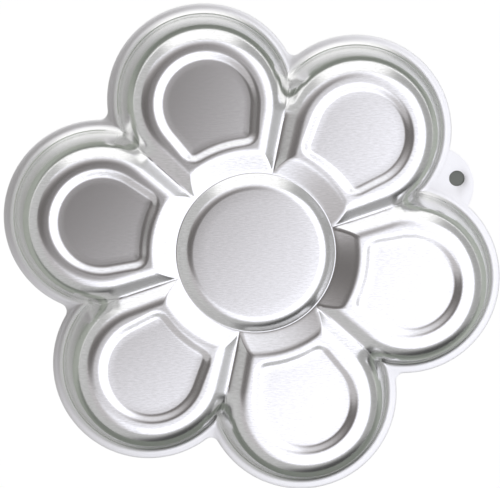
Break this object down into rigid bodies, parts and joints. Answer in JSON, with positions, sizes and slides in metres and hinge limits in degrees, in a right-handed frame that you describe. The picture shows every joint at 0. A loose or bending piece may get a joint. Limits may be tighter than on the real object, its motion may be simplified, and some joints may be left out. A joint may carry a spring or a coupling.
{
  "type": "flower-shaped cake pan",
  "caption": "Shallow pressed aluminium cake pan shaped like a flower, with round petals, a round centre, a flat rim and a hanging tab.",
  "frame": {"origin": "under the middle of the flower, in the plane of the rim's lower face, which the pan lies on", "axes": "+Z out of the base of the pan, so the pan lies open side down as in the picture; +X along one petal; the hanging tab is 30 degrees from +X towards +Y"},
  "size_m": [0.3064, 0.2808, 0.05],
  "materials": {
    "sheet": "bright satin pressed sheet"
  },
  "bodies": {
    "root": {"hanging_tab": "sheet", "petal_1_rim": "sheet", "petal_2_rim": "sheet", "petal_3_rim": "sheet", "petal_4_rim": "sheet", "petal_5_rim": "sheet", "petal_6_rim": "sheet", "centre_boss": "sheet", "petal_1_wall": "sheet", "petal_1_shoulder": "sheet", "petal_1_base": "sheet", "petal_1_panel": "sheet", "petal_2_wall": "sheet", "petal_2_shoulder": "sheet", "petal_2_base": "sheet", "petal_2_panel": "sheet", "petal_3_wall": "sheet", "petal_3_shoulder": "sheet", "petal_3_base": "sheet", "petal_3_panel": "sheet", "petal_4_wall": "sheet", "petal_4_shoulder": "sheet", "petal_4_base": "sheet", "petal_4_panel": "sheet", "petal_5_wall": "sheet", "petal_5_shoulder": "sheet", "petal_5_base": "sheet", "petal_5_panel": "sheet", "petal_6_wall": "sheet", "petal_6_shoulder": "sheet", "petal_6_base": "sheet", "petal_6_panel": "sheet"}
  },
  "joints": []
}
